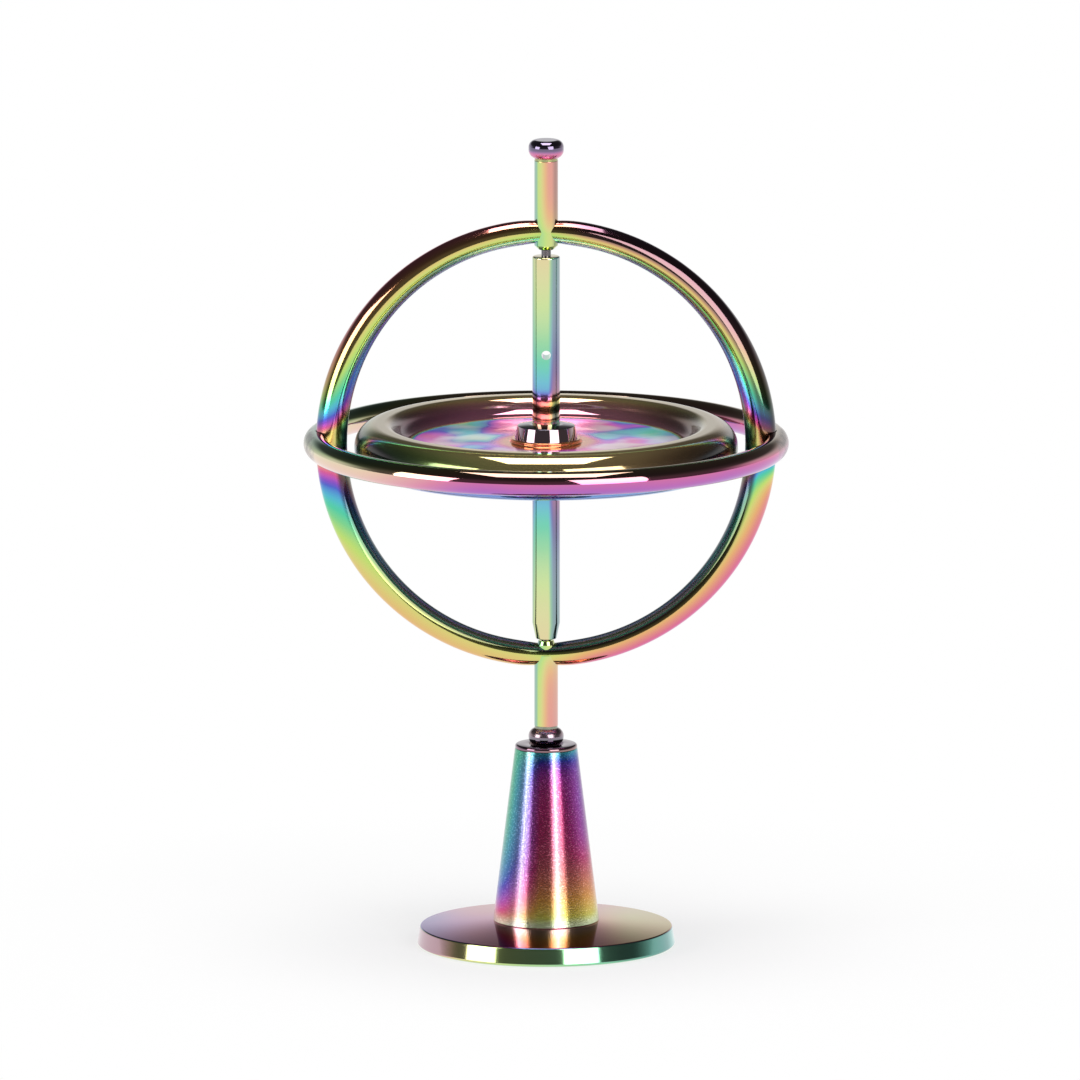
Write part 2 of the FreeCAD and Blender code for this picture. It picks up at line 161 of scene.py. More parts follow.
# makes a modifier's result the piece's own shape
def applied(piece, modifier):
    selectOnly(piece)
    bpy.ops.object.modifier_apply(modifier=modifier.name)


# takes the tool's shape out of the piece
def cut(piece, tool):
    hole = piece.modifiers.new("cut", "BOOLEAN")
    hole.operation = "DIFFERENCE"
    hole.solver = "EXACT"
    hole.object = tool
    applied(piece, hole)
    bpy.data.objects.remove(tool)


# moves, turns or scales the whole mesh of a piece
def reshape(piece, operator, **values):
    selectOnly(piece)
    bpy.ops.object.mode_set(mode="EDIT")
    bpy.ops.mesh.select_all(action="SELECT")
    operator(**values)
    bpy.ops.object.mode_set(mode="OBJECT")


def raised(piece, height):
    reshape(piece, bpy.ops.transform.translate, value=(0, 0, height))


# turns the mesh about an axis through a height on the centre line, by half a turn or a given angle
def rotated(piece, axis, height, angle=math.pi):
    reshape(piece, bpy.ops.transform.rotate, value=angle, orient_axis=axis,
            center_override=(0, 0, height))


# turns a piece over to the lower side, if that is where its node is
def turnedOver(piece, node):
    if high(node).z < equator:
        rotated(piece, "X", equator)


# a second piece of the same shape, half a turn away
def twin(piece, name, axis, height):
    selectOnly(piece)
    bpy.ops.object.duplicate(linked=False)
    copy = named(name)
    rotated(copy, axis, height)
    return copy


# scales a piece to metres, gives it its finish, puts it on the body it rides on and hides the frame's
# nodes it stands in for
def finished(piece, body, nodes, material, sharp=28):
    reshape(piece, bpy.ops.transform.resize, value=(mm, mm, mm), center_override=(0, 0, 0))
    smooth(piece, sharp)
    flat = piece.modifiers.new("flatFaces", "WEIGHTED_NORMAL")
    flat.keep_sharp = True
    applied(piece, flat)
    piece.data.materials.append(material)
    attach(piece, body)
    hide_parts(*nodes)
    print("made", piece.name, len(piece.data.polygons), "faces")


# a colour written as on a paint card, as the scene's own values
def shade(hexColour):
    values = []
    for i in (0, 2, 4):
        v = int(hexColour[i:i + 2], 16) / 255
        values.append(v / 12.92 if v <= 0.04045 else ((v + 0.055) / 1.055) ** 2.4)
    return (*values, 1)


# feeds a socket with another socket or a plain value
def plug(tree, value, socket):
    if isinstance(value, (int, float, tuple)):
        socket.default_value = value
    else:
        tree.links.new(value, socket)


def calc(tree, operation, a, b=0.0, clamp=False):
    node = tree.nodes.new("ShaderNodeMath")
    node.operation = operation
    node.use_clamp = clamp
    plug(tree, a, node.inputs[0])
    plug(tree, b, node.inputs[1])
    return node.outputs[0]


def stretch(tree, value, fromLow, fromHigh, toLow, toHigh, kind="SMOOTHSTEP"):
    node = tree.nodes.new("ShaderNodeMapRange")
    node.interpolation_type = kind
    for i, v in enumerate((value, fromLow, fromHigh, toLow, toHigh)):
        plug(tree, v, node.inputs[i])
    return node.outputs[0]


def mixed(tree, factor, a, b, blend="MIX"):
    node = tree.nodes.new("ShaderNodeMix")
    node.data_type = "RGBA"
    node.blend_type = blend
    plug(tree, factor, node.inputs[0])
    plug(tree, a, node.inputs[6])
    plug(tree, b, node.inputs[7])
    return node.outputs[2]


# the three parts of a vector
def parts(tree, vector):
    split = tree.nodes.new("ShaderNodeSeparateXYZ")
    tree.links.new(vector, split.inputs[0])
    return list(split.outputs)


# an empty node group with its inputs, each given with its kind and default, and its outputs
def newGroup(name, inputs, outputs):
    group = bpy.data.node_groups.new(name, "ShaderNodeTree")
    for label, kind, default in inputs:
        socket = group.interface.new_socket(label, in_out="INPUT", socket_type="NodeSocket" + kind)
        socket.default_value = default
    for label, kind in outputs:
        group.interface.new_socket(label, in_out="OUTPUT", socket_type="NodeSocket" + kind)
    entry = group.nodes.new("NodeGroupInput").outputs
    result = group.nodes.new("NodeGroupOutput").inputs
    return group, entry, result


# the outputs of a group used in another tree
def placed(tree, group, values):
    node = tree.nodes.new("ShaderNodeGroup")
    node.node_tree = group
    for name, value in values.items():
        plug(tree, value, node.inputs[name])
    return node.outputs


filmColours = {  # interference colours in the order in which they follow each other
    0.00: "e0968a",
    0.07: "e5b27f",
    0.14: "d9c97e",
    0.21: "bedb78",
    0.30: "80cf8f",
    0.40: "45c6a8",
    0.48: "30b2cb",
    0.56: "3c8ecf",
    0.64: "5a62c4",
    0.72: "8750bd",
    0.80: "b454b0",
    0.89: "d66798",
    1.00: "e0968a",
}
filmPale = "ece8e8"
polishSettings = {"cloudScale": 160, "cloudDetail": 5, "grainScale": 2600, "grainDetail": 3}


# a place in the order of film colours, made paler or darker
def makeFilm():
    group, entry, result = newGroup(
        "filmColour",
        [("Order", "Float", 0.0), ("Paleness", "Float", 0.0), ("Depth", "Float", 1.0),
         ("Saturation", "Float", 1.0)],
        [("Colour", "Color")])
    cycles = 4.0  # added so that places below 0 wrap round as well
    wrapped = calc(group, "FRACT", calc(group, "ADD", entry["Order"], cycles))
    ramp = group.nodes.new("ShaderNodeValToRGB")
    stops = ramp.color_ramp.elements
    order = sorted(filmColours)
    stops[0].position, stops[0].color = order[0], shade(filmColours[order[0]])
    stops[1].position, stops[1].color = order[-1], shade(filmColours[order[-1]])
    for place in order[1:-1]:
        stops.new(place).color = shade(filmColours[place])
    group.links.new(wrapped, ramp.inputs[0])
    strong = group.nodes.new("ShaderNodeHueSaturation")
    group.links.new(entry["Saturation"], strong.inputs["Saturation"])
    group.links.new(ramp.outputs[0], strong.inputs["Color"])
    pale = mixed(group, entry["Paleness"], strong.outputs[0], shade(filmPale))
    group.links.new(mixed(group, entry["Depth"], shade("000000"), pale), result["Colour"])
    return group


# cloudy spots and a fine grain of a coated metal, as roughness and height
def makePolish():
    s = polishSettings
    group, entry, result = newGroup(
        "polishMarks",
        [("Place", "Vector", (0, 0, 0)), ("Base Roughness", "Float", 0.0), ("Spread", "Float", 0.0),
         ("Grain Size", "Float", s["grainScale"])],
        [("Roughness", "Float"), ("Height", "Float")])
    cloud = group.nodes.new("ShaderNodeTexNoise")
    cloud.inputs["Scale"].default_value = s["cloudScale"]
    cloud.inputs["Detail"].default_value = s["cloudDetail"]
    group.links.new(entry["Place"], cloud.inputs["Vector"])
    grain = group.nodes.new("ShaderNodeTexNoise")
    grain.inputs["Detail"].default_value = s["grainDetail"]
    group.links.new(entry["Grain Size"], grain.inputs["Scale"])
    group.links.new(entry["Place"], grain.inputs["Vector"])
    swing = calc(group, "MULTIPLY", calc(group, "SUBTRACT", cloud.outputs[0], 0.5), entry["Spread"])
    rough = calc(group, "ADD", entry["Base Roughness"], swing, clamp=True)
    group.links.new(rough, result["Roughness"])
    group.links.new(grain.outputs[0], result["Height"])
    return group


film = makeFilm()
polish = makePolish()


# a metal with the film on it: the parts of a material that every finish starts from
class Finish:
    def __init__(self, name, coat=0.7, coatRoughness=0.04, metallic=1.0):
        self.material = bpy.data.materials.new(name)
        self.material.use_nodes = True
        self.tree = self.material.node_tree
        self.tree.nodes.clear()
        self.shader = self.tree.nodes.new("ShaderNodeBsdfPrincipled")
        self.feed("Metallic", metallic)
        self.feed("Coat Weight", coat)
        self.feed("Coat IOR", 2.1)
        self.feed("Coat Roughness", coatRoughness)
        output = self.tree.nodes.new("ShaderNodeOutputMaterial")
        self.tree.links.new(self.shader.outputs[0], output.inputs[0])
        coordinates = self.tree.nodes.new("ShaderNodeTexCoord")
        self.place = coordinates.outputs["Object"]
        self.x, self.y, self.z = [self.times(v, 1 / mm) for v in parts(self.tree, self.place)]
        self.nx, _, self.nz = parts(self.tree, coordinates.outputs["Normal"])

    def feed(self, socket, value):
        plug(self.tree, value, self.shader.inputs[socket])

    def add(self, a, b):
        return calc(self.tree, "ADD", a, b)

    def times(self, a, b):
        return calc(self.tree, "MULTIPLY", a, b)

    def less(self, a, b):
        return calc(self.tree, "SUBTRACT", a, b)

    # what a mask leaves
    def rest(self, mask):
        return self.less(1.0, mask)

    # a value with masks added to it, each given with its weight
    def blend(self, value, *terms):
        for mask, weight in terms:
            value = self.add(value, self.times(mask, weight))
        return value

    def size(self, a):
        return calc(self.tree, "ABSOLUTE", a)

    def positive(self, a):
        return calc(self.tree, "MAXIMUM", a, 0.0)

    def power(self, a, exponent):
        return calc(self.tree, "POWER", self.positive(a), exponent)

    # fades from 1 at nothing, by the given reach
    def fade(self, a, reach):
        return calc(self.tree, "EXPONENT", self.times(self.positive(a), -1 / reach))

    # 0 at one value and 1 at the other, with soft ends
    def step(self, a, start, end):
        return stretch(self.tree, a, start, end, 0.0, 1.0)

    # 0 at one value and 1 at the other, in a straight line
    def climb(self, a, start, end):
        return stretch(self.tree, a, start, end, 0.0, 1.0, kind="LINEAR")

    def between(self, factor, a, b):
        node = self.tree.nodes.new("ShaderNodeMix")
        for i, value in ((0, factor), (2, a), (3, b)):
            plug(self.tree, value, node.inputs[i])
        return node.outputs[0]

    def noise(self, scale, detail=2.0, seed=0.0):
        node = self.tree.nodes.new("ShaderNodeTexNoise")
        node.noise_dimensions = "4D"
        values = {"Scale": scale, "Detail": detail, "W": seed, "Vector": self.place}
        for socket, value in values.items():
            plug(self.tree, value, node.inputs[socket])
        return self.less(node.outputs[0], 0.5)

    # the distance from the equator, in millimetres up or down
    def away(self):
        return self.size(self.less(self.z, equator))

    def bumped(self, height, strength, millimetres):
        node = self.tree.nodes.new("ShaderNodeBump")
        plug(self.tree, height, node.inputs["Height"])
        plug(self.tree, strength, node.inputs["Strength"])
        node.inputs["Distance"].default_value = millimetres * mm
        return node

    def paint(self, order, paleness, depth, saturation=1.2, roughness=0.05, spread=0.05,
              grain=0.02, grainScale=polishSettings["grainScale"]):
        coat = placed(self.tree, film, {
            "Order": order, "Paleness": paleness, "Depth": depth, "Saturation": saturation})
        marks = placed(self.tree, polish, {
            "Place": self.place, "Base Roughness": roughness, "Spread": spread,
            "Grain Size": grainScale})
        self.colour = coat["Colour"]
        self.bump = self.bumped(marks["Height"], grain, 0.03)
        self.feed("Base Color", self.colour)
        self.feed("Roughness", marks["Roughness"])
        self.feed("Normal", self.bump.outputs[0])
        return self.material


# upright ring: the film runs fast near the joints and slowly elsewhere, and shifts towards the centre;
# painted shade darkens the lower hollow, the outer side of the upper flanks and the outer side of the
# upper right, with a painted pale mauve reflection streak at the upper right
def ringFinish():
    f = Finish("uprightRingFilm", coat=0.4)
    up = f.less(f.z, equator)
    side = f.times(f.size(up), 1 / ringSettings["radius"])  # 0 at the joints, 1 at the poles
    across = f.add(f.times(f.nx, f.x), f.times(f.nz, up))
    inward = f.times(across, -1 / ringSettings["radius"])  # 1 on the side of the centre
    below = f.step(up, 0.5, -0.5)
    above = f.rest(below)
    right = f.step(f.x, -2.0, 8.0)
    lowLeft = f.times(below, f.rest(right))
    lowRight = f.times(below, right)
    midway = f.times(f.step(side, 0.3, 0.6), f.step(f.size(f.x), 1.0, 6.0))
    tilt = f.times(f.positive(inward), f.blend(0.05, (lowRight, 0.04)))
    past = f.less(side, f.add(f.blend(0.065, (lowLeft, 0.03)), tilt))
    past = f.times(past, f.blend(1.0, (lowLeft, -0.25), (lowRight, 0.9)))
    joint = f.blend(f.fade(past, 0.11), (f.fade(past, 0.4), 0.12))
    lip = f.step(inward, 0.35, 0.9)
    pole = f.fade(f.size(f.x), 3.0)
    # painted shade over the outer side of the upper right, where a lamp's reflection falls, with a
    # painted pale mauve reflection streak along its middle
    streakShade = f.times(f.times(right, above), f.step(inward, 0.2, -0.2))
    paintedMauveStreak = f.times(midway, streakShade)
    spread = f.blend(0.19, (lowLeft, -0.12), (lowRight, 0.015))
    order = f.blend(0.12, (joint, 0.88), (inward, spread), (pole, 0.07), (lip, 0.18),
                    (f.times(midway, right), -0.05), (paintedMauveStreak, -0.07), (f.noise(90), 0.06))
    # painted shade: darker in the lower hollow and on the outer side of the upper flanks
    hollowShade = f.times(below, f.step(inward, 0.08, 0.38))
    flank = f.times(above, f.step(f.size(f.nx), 0.5, 0.9))
    outer = f.step(inward, f.times(right, 0.15), -0.35)
    rim = f.times(f.times(flank, outer), f.blend(0.4, (right, 0.4)))
    depth = f.times(f.blend(1.0, (hollowShade, -0.85), (rim, -1.0)), f.blend(1.0, (streakShade, -0.8)))
    roughness = f.blend(0.09, (f.fade(past, 0.08), 0.1), (f.step(inward, 0.3, 0.8), 0.1))
    paleness = f.blend(0.06, (lip, 0.25), (paintedMauveStreak, 0.22))
    return f.paint(order, paleness, depth, roughness=roughness, grain=0.005)


# level ring: olive above, with painted shade darkening its upper side, magenta in front, violet below,
# cream to the left, and darker mottled marks at the tips on either side
def hoopFinish():
    f = Finish("levelRingFilm", coat=0.4)
    down = f.positive(f.times(f.nz, -1.0))
    left = f.step(f.x, -8.0, -27.0)
    upper = f.step(f.nz, 0.15, 0.6)
    tips = f.step(f.blend(f.size(f.x), (f.noise(500, 4.0), 2.0)), 29.8, 30.9)
    # darker, mottled marks at the tips
    darkTipMarks = f.times(tips, f.blend(0.5, (f.noise(900, 3.0, 5.0), 1.6)))
    order = f.blend(-0.16, (f.positive(f.nz), 0.26), (down, -0.1), (left, 0.25), (f.noise(70), 0.08))
    paleness = f.blend(0.05, (f.times(f.rest(upper), left), 0.34), (upper, 0.1), (tips, 0.2))
    # painted shade: the upper side darkened to 0.4
    depth = f.times(f.rest(darkTipMarks), f.blend(1.0, (upper, -0.6)))
    return f.paint(order, paleness, depth, saturation=1.05, roughness=f.blend(0.05, (tips, 0.25)))


# shaft: gold at the ends, green and cyan towards the wheel, rose and gold again just above its hub,
# with painted shade making it darker and blue-grey along the right side and darker along the left edge
def shaftFinish():
    f = Finish("shaftFilm")
    along = f.away()
    cool = f.fade(f.less(along, 7.0), 10.0)
    ends = f.step(along, 9.0, 18.0)
    overWheel = f.step(f.z, wheelMiddle, wheelMiddle + 1.0)
    hub = f.times(f.step(f.z, equator + 7.6, equator + 4.6), overWheel)
    right = f.step(f.nx, 0.12, 0.6)
    left = f.step(f.nx, -0.7, -1.0)
    order = f.blend(0.06, (cool, 0.47), (hub, 0.5), (right, 0.3), (left, 0.1), (f.noise(60), 0.05))
    paleness = f.blend(0.12, (ends, 0.16), (right, 0.2))
    # painted shade: darker and greyer along the right side, darker along the left edge
    return f.paint(order, paleness, f.blend(1.0, (right, -0.5), (left, -0.35)))


# posts and bosses: pale green to salmon across, yellow-green towards the ring, with painted shade
# darkening the right and left sides
def postFinish(name, shadow):
    f = Finish(name)
    nearRing = f.fade(f.less(f.away(), ringSettings["radius"]), 2.4)
    across = f.times(f.step(f.nx, 0.35, -0.68), f.blend(0.2, (nearRing, -0.12)))
    right = f.step(f.nx, 0.4, 0.8)
    left = f.step(f.nx, -0.62, -0.9)
    order = f.blend(f.add(-0.01, across), (nearRing, 0.2), (left, 0.16), (f.noise(80), 0.05))
    paleness = f.blend(0.12, (right, 0.1), (left, 0.3))
    # painted shade: darker on the right side by the shadow amount, and on the left edge
    depth = f.blend(1.0, (right, -shadow), (left, -0.35))
    return f.paint(order, paleness, depth, grain=0.005)


# knobs: painted nearly black outside as painted shade, lilac to rose and lighter towards the post as
# painted light, by the amount of glow, with an olive neck
def knobFinish(name, glow, saturation):
    f = Finish(name)
    out = f.less(f.away(), span("upper_knob")[1])  # 0 at the knob's end, below 0 towards the post
    inner = f.step(out, -1.05, -1.7)
    neck = f.step(out, -2.3, -2.45)
    order = f.blend(0.72, (inner, 0.16), (neck, 0.3), (f.noise(150), 0.16))
    # painted shade outside, painted light towards the post
    depth = f.blend(0.25, (inner, glow), (neck, -0.65 * glow))
    return f.paint(order, f.blend(0.3, (inner, -0.15)), depth, saturation=saturation,
                   roughness=f.blend(0.05, (inner, 0.22)), grain=0.005)


wheelZones = {  # radii from which and at which each zone of the wheel's finish shows
    "web": (18.1, 17.0),
    "slope": (20.4, 19.0),
    "hub": (8.0, 5.2),
    "outside": (21.0, 23.0),
    "ends": (22.5, 24.0),
}


# flywheel: olive rim, greener to the left and violet beneath, with painted shade darkening its top, its
# crest away from the middle, its ends and its flanks, and a bright web mottled in cyan, violet and pink
# and a gold ring around the hub
def wheelFinish():
    f = Finish("flywheelFilm", coat=0.3)
    radius = calc(f.tree, "SQRT", f.add(f.times(f.x, f.x), f.times(f.y, f.y)))
    web, slope, hub, outside, ends = [f.step(radius, *zone) for zone in wheelZones.values()]
    under = f.step(f.z, wheelMiddle + 0.4, wheelMiddle - 0.6)
    left = f.power(f.times(f.nx, -1.0), 1.5)
    sideways = f.size(f.nx)
    rim = f.rest(web)
    top = f.times(f.step(f.nz, -0.1, 0.35), rim)
    crest = f.times(top, f.step(f.size(f.x), 9.0, 20.0))
    ends = f.times(ends, f.step(sideways, 0.65, 0.9))
    flanks = f.times(rim, f.step(sideways, 0.2, 0.7))
    rimOrder = f.blend(0.12, (left, f.blend(0.1, (outside, 0.14))), (f.positive(f.nx), -0.06),
                       (slope, -0.2), (under, 0.47), (f.noise(60), 0.06))
    mottle = f.blend(0.68, (f.noise(118, 0.8, 5.0), 2.1), (f.step(f.y, 4.0, 16.0), 0.08))
    webOrder = f.between(hub, calc(f.tree, "MINIMUM", mottle, 0.9), 1.03)
    mist = f.step(f.noise(170, 1.5, 21.0), -0.02, 0.18)
    webPaleness = f.times(f.rest(hub), f.blend(0.09, (mist, 0.34)))
    paleness = f.between(web, f.blend(0.08, (slope, 0.1)), webPaleness)
    # painted shade: the rim's top, its crest away from the middle, its ends and its flanks darkened
    depth = f.blend(1.0, (top, -0.15), (crest, -0.4), (ends, -0.3), (flanks, -0.3))
    roughness = f.blend(0.06, (ends, 0.06), (flanks, 0.15), (web, f.blend(0.15, (hub, -0.1))))
    f.paint(f.between(web, rimOrder, webOrder), paleness, depth,
            saturation=f.blend(1.05, (web, 0.22)), roughness=roughness)
    f.feed("Metallic", f.between(web, 0.87, f.blend(0.22, (hub, 0.65))))
    bright = f.times(web, f.rest(hub))
    once = mixed(f.tree, bright, f.colour, f.colour, "SCREEN")
    f.feed("Base Color", mixed(f.tree, f.times(bright, 0.55), once, once, "SCREEN"))
    ripple = f.bumped(f.noise(95, 0.0, 8.0), f.times(web, f.blend(0.8, (hub, -0.6))), 1.6)
    f.tree.links.new(ripple.outputs[0], f.bump.inputs["Normal"])
    return f.material


# hub collars: pale, with painted shade darkening the top
def collarFinish():
    f = Finish("hubCollarFilm")
    order = f.blend(0.96, (f.nx, 0.05), (f.nz, -0.3), (f.noise(150), 0.15))
    return f.paint(order, 0.55, f.blend(0.5, (f.step(f.nz, 0.3, 0.8), -0.33)))


# stand cone: cool colours from the left edge, violet through rose to gold at the foot, two painted
# highlights as pale, lighter bands down the front, in a fine satin grain
def coneFinish():
    f = Finish("coneSatinFilm", coat=0.3, coatRoughness=0.14)
    down = f.climb(f.z, coneTop, seat)
    centre = f.blend(0.9, (f.fade(down, 0.09), -0.46), (f.power(down, 3.8), 0.32))
    edge = f.blend(0.36, (down, 0.08), (f.power(down, 5.0), 0.68))
    left = f.climb(f.nx, -0.15, -0.95)
    upper = f.times(f.step(down, 0.0, 0.3), f.step(down, 0.75, 0.45))
    right = f.times(f.climb(f.nx, 0.4, 0.9), upper)
    order = f.blend(f.between(left, centre, edge), (right, -0.14), (f.noise(120), 0.04))
    foot = f.step(down, 0.93, 0.99)
    sparkle = f.step(f.noise(5200, 1.0, 2.0), -0.02, 0.25)
    # painted highlights: two pale, lighter bands down the front where the lamps' reflections fall
    leftHighlightBand = f.fade(f.size(f.add(f.nx, 0.54)), 0.1)
    highlightBands = f.add(leftHighlightBand, f.fade(f.size(f.less(f.nx, 0.24)), 0.07))
    paleness = f.blend(0.0, (foot, 0.5), (sparkle, 0.2), (highlightBands, 0.55))
    depth = f.blend(0.55, (sparkle, 0.45), (highlightBands, 0.3), (f.step(down, 0.6, 0.9), 0.25))
    return f.paint(order, paleness, depth, saturation=1.3, roughness=0.17, spread=0.06,
                   grain=0.35, grainScale=6500)


# base disc: mauve to tan across the top, rose through green to teal around the edge, with painted shade
# darkening the edge towards its left and right ends
def discFinish():
    f = Finish("baseDiscFilm", coat=0.4)
    top = f.step(f.nz, 0.5, 0.9)
    leftEdge = f.step(f.nx, -0.66, -0.86)
    rightEdgeShade = f.times(f.step(f.nx, 0.4, 0.62), f.step(f.nx, 0.995, 0.93))
    edgeOrder = f.blend(0.27, (f.nx, 0.17), (leftEdge, -0.22), (f.noise(100), 0.05))
    topOrder = f.blend(0.9, (f.step(f.x, -8.0, -17.0), -0.2), (f.step(f.x, 3.0, 12.0), 0.22),
                       (f.noise(60), 0.25))
    paleness = f.between(top, f.blend(0.2, (leftEdge, 0.3)), 0.18)
    # painted shade: the edge darker towards its left and right ends
    depth = f.between(top, f.blend(0.95, (leftEdge, -0.35), (rightEdgeShade, -0.4)), 0.8)
    return f.paint(f.between(top, edgeOrder, topOrder), paleness, depth,
                   saturation=f.between(top, 1.1, 1.5), roughness=f.between(top, 0.11, 0.1))


# cup: a plum painted dark as painted shade, darker still on top
def cupFinish():
    f = Finish("cupFilm")
    order = f.blend(0.94, (f.nz, -0.12), (f.nx, 0.1), (f.noise(200), 0.2))
    return f.paint(order, 0.3, f.blend(0.3, (f.step(f.nz, 0.3, 0.9), -0.08)))


# bare steel with fine turning lines
def steelFinish(name, colour, roughness):
    f = Finish(name)
    wave = f.tree.nodes.new("ShaderNodeTexWave")
    wave.bands_direction = "Z"
    wave.inputs["Scale"].default_value = 2500
    wave.inputs["Distortion"].default_value = 1.5
    f.tree.links.new(f.place, wave.inputs["Vector"])
    lines = wave.outputs[1]
    tint = mixed(f.tree, lines, shade(colour), shade("8d8d92"))
    f.feed("Base Color", mixed(f.tree, 0.25, shade(colour), tint))
    f.feed("Roughness", f.blend(roughness, (lines, 0.1)))
    return f.material


def rubberFinish():
    f = Finish("padRubber", coat=0.0, metallic=0.0)
    pores = f.noise(1800, 4.0)
    f.feed("Base Color", mixed(f.tree, f.add(pores, 0.5), shade("1c1c1e"), shade("34343a")))
    f.feed("Roughness", f.blend(0.85, (pores, 0.2)))
    f.feed("Normal", f.bumped(pores, 0.5, 0.1).outputs[0])
    return f.material


baseSettings = {"edge": 0.3, "crown": 0.75, "topEdge": 0.25, "topSetback": 0.4, "recess": 0.5,
                "recessRadius": 14.1, "screwHole": 2.9, "stemHole": 1.65}


def makeBase():
    s = baseSettings
    box = high("base_disc")
    floorLevel = low("base_disc").z
    recess = floorLevel + s["recess"]
    points = outline([
        (s["screwHole"], recess),
        (s["recessRadius"], recess),
        (s["recessRadius"], floorLevel),
        (box.x, floorLevel, s["edge"]),
        (box.x - s["topSetback"], box.z - s["crown"], s["topEdge"]),
        (high("stand_cone").x, box.z),
        (s["stemHole"], box.z),
    ], steps=6)
    piece = turned("baseDisc", points, turns=256)
    finished(piece, "stand", ["base_disc"], discFinish())


padSettings = {"edge": 0.25, "topEdge": 0.05}


def makePad():
    s = padSettings
    top = high("base_pad")
    points = outline([(0, 0), (top.x, 0, s["edge"]), (top.x, top.z, s["topEdge"]), (0, top.z)], steps=4)
    piece = turned("basePad", points, turns=96)
    finished(piece, "stand", ["base_pad"], rubberFinish())


coneSettings = {"rounding": 0.12, "topRadius": 4.05, "screwHole": 1.52, "socket": 2.5}


def makeCone():
    s = coneSettings
    points = outline([
        (s["screwHole"], seat),
        (high("stand_cone").x, seat, s["rounding"]),
        (s["topRadius"], coneTop, s["rounding"]),
        (s["socket"], coneTop),
    ], steps=4)
    piece = turned("standCone", points, turns=192)
    finished(piece, "stand", ["stand_cone"], coneFinish())


cupSettings = {"stem": 2.45, "stemEdge": 0.2, "edge": 0.3, "lip": 0.08,
               "dimple": 2.496, "rise": 1.05}  # the dimple's radius, its centre above the cup


def makeCup():
    s = cupSettings
    foot, top = low("pivot_cup").z, high("pivot_cup")
    lipAngle = math.degrees(math.asin(-s["rise"] / s["dimple"]))
    bowl = arc(0, top.z + s["rise"], s["dimple"], lipAngle, -90, 20)
    points = outline([
        (0, foot),
        (s["stem"], foot, s["stemEdge"]),
        (s["stem"], coneTop),
        (top.x, coneTop),
        (top.x, top.z, s["edge"]),
        (bowl[0][0], top.z, s["lip"]),
        bowl[1],
    ], steps=5)
    piece = turned("pivotCup", points + bowl[2:], turns=128)
    finished(piece, "cup", ["pivot_cup"], cupFinish())


knobSettings = {"upperRounding": 0.95, "lowerRounding": 1.25, "bore": 0.92, "neck": 1.5,
                "neckHeight": 0.32, "widest": 1.42}


def makeKnob(name, node, rounding, material):
    s = knobSettings
    foot, top = low("upper_knob"), high("upper_knob")
    side, under = foot.z + s["widest"], s["widest"] - s["neckHeight"]
    reach = top.x - s["neck"]
    bulge = (reach ** 2 + under ** 2) / (2 * reach)  # radius of the rounding that ends at the neck
    start = -math.degrees(math.asin(under / bulge))
    belly = arc(top.x - bulge, side, bulge, start, 0, 16)
    crown = outline([(top.x, side), (top.x, top.z, rounding), (0, top.z)], steps=16)
    piece = turned(name, [(s["bore"], foot.z), (s["neck"], foot.z)] + belly + crown[1:], turns=96)
    turnedOver(piece, node)
    finished(piece, "gyro_frame", [node], material)


postSettings = {"neck": 0.9, "edge": 0.05}


def makePosts(upperMetal, lowerMetal):
    s = postSettings
    radius = high("upper_post").x
    start = equator + ringSettings["radius"]
    shoulder = low("upper_knob").z
    points = outline([
        (0, start),
        (radius, start),
        (radius, shoulder, s["edge"]),
        (s["neck"], shoulder),
    ], steps=3)
    upper = turned("upperPost", points, turns=96)
    lower = twin(upper, "lowerPost", "X", equator)
    finished(upper, "gyro_frame", ["upper_post"], upperMetal)
    finished(lower, "gyro_frame", ["lower_post"], lowerMetal)


bossSettings = {"bore": 0.675, "nose": 1.0, "taper": 0.55, "boreDepth": 1.2, "boreEdge": 0.05,
                "edge": 0.1}


def makeBoss(name, node, material):
    s = bossSettings
    radius = high(node).x
    reach = span(node)[0]
    points = outline([
        (0, reach + s["boreDepth"]),
        (s["bore"], reach + s["boreDepth"]),
        (s["bore"], reach, s["boreEdge"]),
        (s["nose"], reach, s["edge"]),
        (radius, reach + s["taper"], s["edge"]),
        (radius, ringSettings["radius"]),
        (0, ringSettings["radius"]),
    ], steps=4)
    piece = turned(name, points, turns=96)
    raised(piece, equator)
    turnedOver(piece, node)
    finished(piece, "gyro_frame", [node], material)


ringSettings = {"radius": 27.86, "poleTube": 3.24, "sideTube": 4.06, "around": 288, "section": 56,
                "waist": 0.22, "waistReach": 2.2}


# a torus drawn thin enough for its waist at the poles and grown from there towards its sides
def makeUprightRing():
    s = ringSettings
    piece = added(
        "uprightRing", bpy.ops.mesh.primitive_torus_add, major_segments=s["around"],
        minor_segments=s["section"], major_radius=s["radius"],
        minor_radius=s["poleTube"] / 2 - s["waist"], rotation=(math.pi / 2, 0, 0))
    bpy.ops.object.transform_apply(rotation=True)
    swell = piece.vertex_groups.new(name="swell")
    sideGrowth = (s["sideTube"] - s["poleTube"]) / 2
    mostGrowth = s["waist"] + sideGrowth
    for v in piece.data.vertices:
        cosine = abs(v.co.x) / math.hypot(v.co.x, v.co.z)
        waist = s["waist"] * (1 - math.exp(-(v.co.x / s["waistReach"]) ** 2))
        swell.add([v.index], (waist + sideGrowth * cosine ** 3) / mostGrowth, "REPLACE")
    grow = piece.modifiers.new("grow", "DISPLACE")
    grow.direction = "NORMAL"
    grow.mid_level = 0
    grow.strength = mostGrowth
    grow.vertex_group = swell.name
    applied(piece, grow)
    raised(piece, equator)
    finished(piece, "gyro_frame", ["vertical_ring"], ringFinish(), sharp=60)


